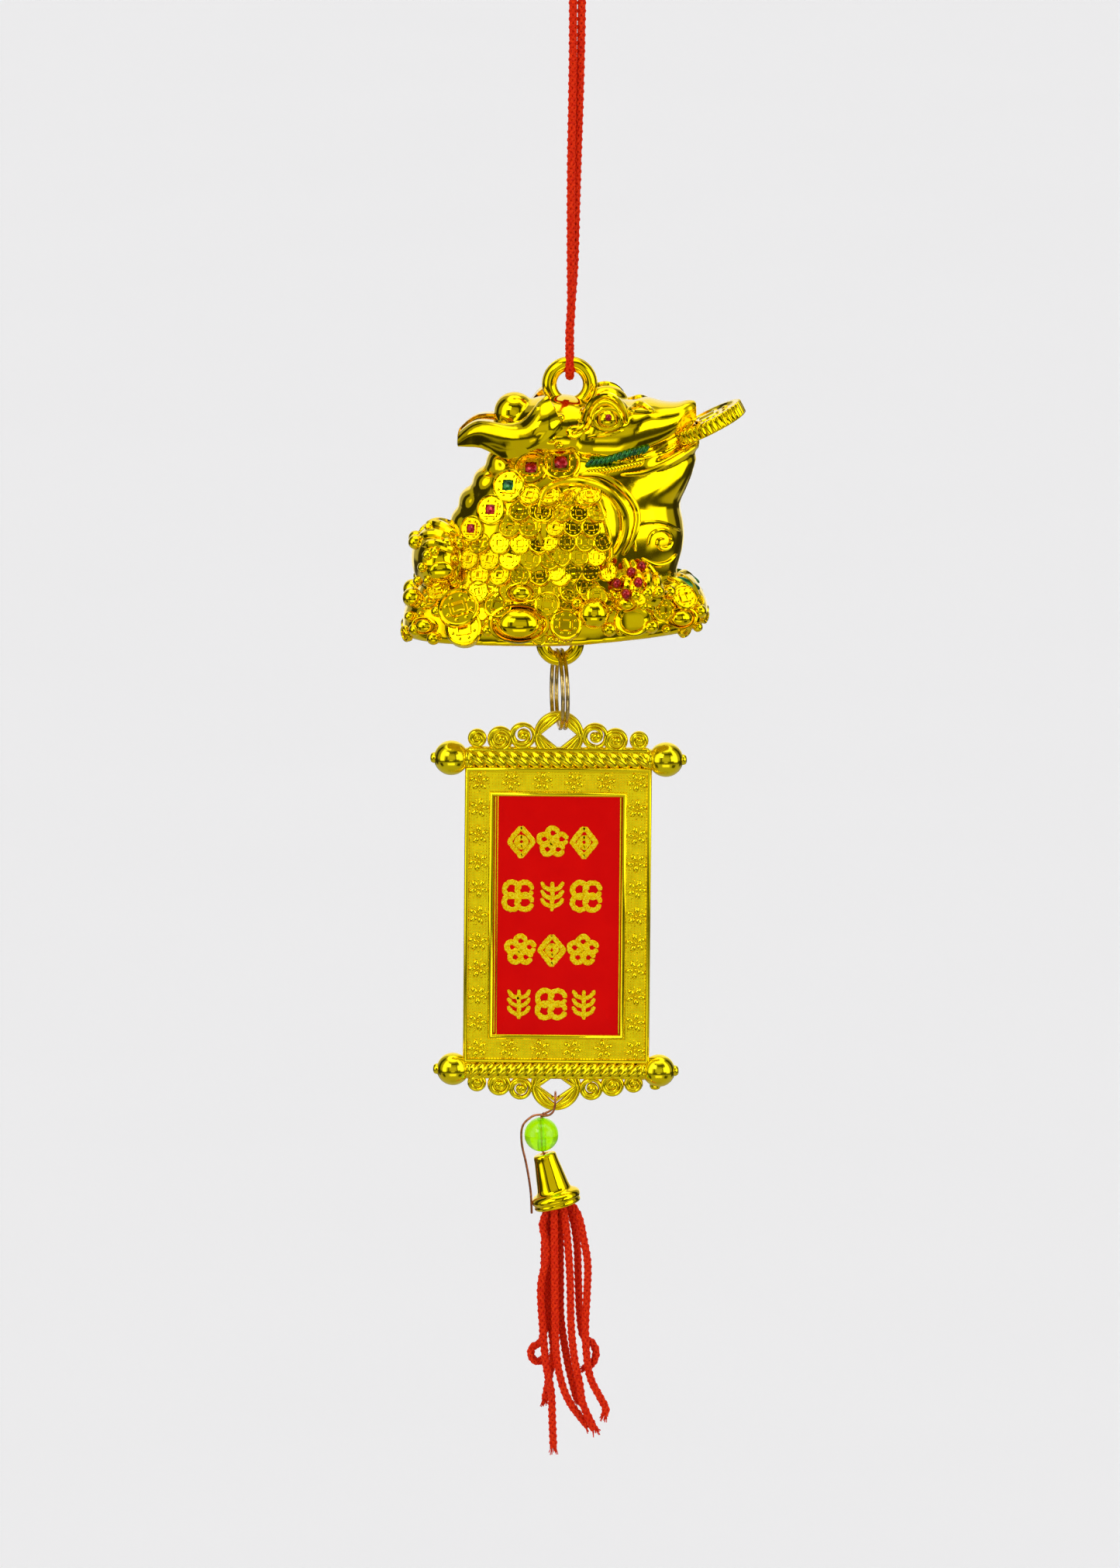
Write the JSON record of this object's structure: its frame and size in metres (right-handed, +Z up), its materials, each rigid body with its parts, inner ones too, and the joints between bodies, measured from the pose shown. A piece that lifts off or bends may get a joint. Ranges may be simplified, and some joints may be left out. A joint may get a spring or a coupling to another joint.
{
  "type": "hanging lucky charm",
  "caption": "Gold-plated toad on coins over a scroll plaque with a red panel, green bead, bell cap and red tassel, hung on a doubled braided cord.",
  "frame": {"origin": "where a hook bears: between the two strands of the cord, just under the knot", "axes": "+Z up along the hanging cord, -Y the front that shows the toad's side and the red panel, +X towards the toad's mouth"},
  "size_m": [0.0597, 0.026, 0.27],
  "materials": {
    "gold_plating": "vacuum-plated bright yellow gold on moulded plastic",
    "red_cord": "braided nylon cord",
    "brass_wire": "bright wire",
    "copper_wire": "soft copper wire",
    "red_panel": "glossy with gold glitter ornaments",
    "green_bead": "translucent bright green"
  },
  "bodies": {
    "hanger": {"cord_strand_right": "red_cord", "cord_strand_left": "red_cord", "cord_knot": "red_cord", "cord_tail_left": "red_cord", "cord_tail_right": "red_cord"},
    "bight": {"cord_bight": "red_cord"},
    "toad": {"toad_front_shell": "gold_plating", "toad_back_shell": "gold_plating", "top_eye": "gold_plating", "bottom_eye": "gold_plating", "mouth_coin": "gold_plating"},
    "ring": {"split_ring": "brass_wire"},
    "plaque": {"scroll_frame": "gold_plating", "front_panel": "red_panel", "back_panel": "red_panel"},
    "pendant": {"bead_wire": "copper_wire", "tassel_head": "red_cord"},
    "bead": {"green_bead": "green_bead"},
    "cap": {"bell_cap": "gold_plating"},
    "tassel": {"tassel_strand_1": "red_cord", "tassel_strand_2": "red_cord", "tassel_strand_3": "red_cord", "tassel_strand_4": "red_cord", "tassel_strand_5": "red_cord", "tassel_strand_6": "red_cord", "tassel_strand_7": "red_cord", "tassel_strand_8": "red_cord"}
  },
  "joints": [
    {"name": "cord_twist", "type": "hinge", "parent": "hanger", "child": "bight", "pos_m": [-0.00135, 0, -0.058], "axis": [0, 0, 1], "range_deg": [-90, 90]},
    {"name": "toad_swing", "type": "hinge", "parent": "bight", "child": "toad", "pos_m": [-0.00135, 0, -0.06995], "axis": [0, 1, 0], "range_deg": [-30, 30]},
    {"name": "ring_swing", "type": "hinge", "parent": "toad", "child": "ring", "pos_m": [-0.00303, 0, -0.11973], "axis": [1, 0, 0], "range_deg": [-45, 45]},
    {"name": "plaque_swing", "type": "hinge", "parent": "ring", "child": "plaque", "pos_m": [-0.00324, 0, -0.13195], "axis": [0, 1, 0], "range_deg": [-20, 20]},
    {"name": "pendant_swing", "type": "hinge", "parent": "plaque", "child": "pendant", "pos_m": [-0.00385, 0, -0.19845], "axis": [0, 1, 0], "range_deg": [-20, 20]},
    {"name": "bead_spin", "type": "hinge", "parent": "pendant", "child": "bead", "pos_m": [-0.0063, 0, -0.2041], "axis": [-0.0436, 0, 0.999], "continuous": true},
    {"name": "cap_spin", "type": "hinge", "parent": "pendant", "child": "cap", "pos_m": [-0.0058, 0, -0.2075], "axis": [-0.2538, 0, 0.9673], "continuous": true},
    {"name": "tassel_sway", "type": "hinge", "parent": "pendant", "child": "tassel", "pos_m": [-0.00375, 0, -0.2153], "axis": [1, 0, 0], "range_deg": [-25, 25]}
  ]
}
